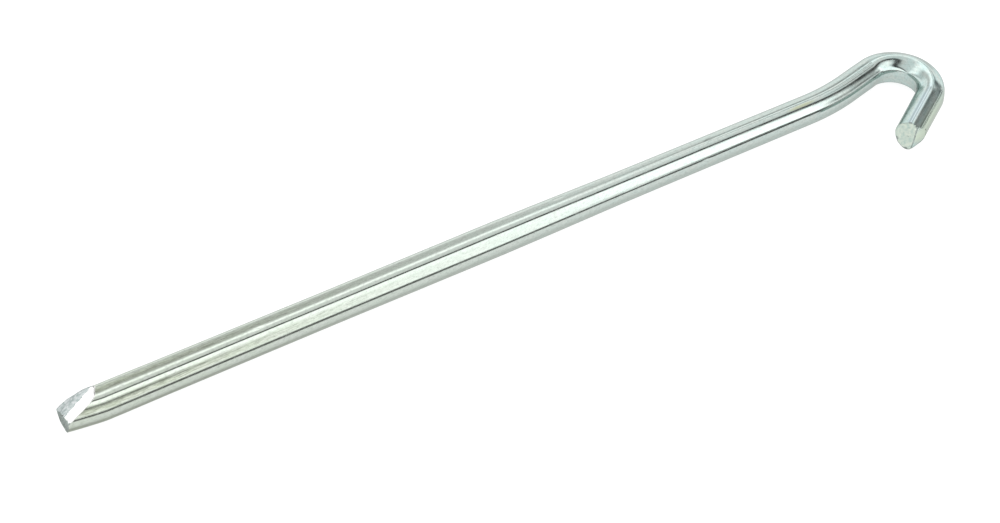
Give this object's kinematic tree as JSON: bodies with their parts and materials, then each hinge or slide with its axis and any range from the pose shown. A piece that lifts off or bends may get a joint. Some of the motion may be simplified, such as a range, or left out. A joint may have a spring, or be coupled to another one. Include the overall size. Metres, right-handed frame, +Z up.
{
  "type": "tent stake",
  "caption": "Straight, slightly fluted steel rod, sheared to a bevelled point at one end and bent into a tight open hook at the other, for pegging down a tent or guy line.",
  "frame": {"origin": "centre of the bounding box's base: the stake lies on its side, with its hook flat, on Z = 0", "axes": "+X along the rod from the point to the hook, -Y the side that the hook opens to, +Z up, across the hook's plane"},
  "size_m": [0.229, 0.0306, 0.008],
  "materials": {
    "zinc_steel": "bright zinc plating on drawn steel, half gloss, with drawing lines along the rod"
  },
  "bodies": {
    "root": {"stake_rod": "zinc_steel"}
  },
  "joints": []
}
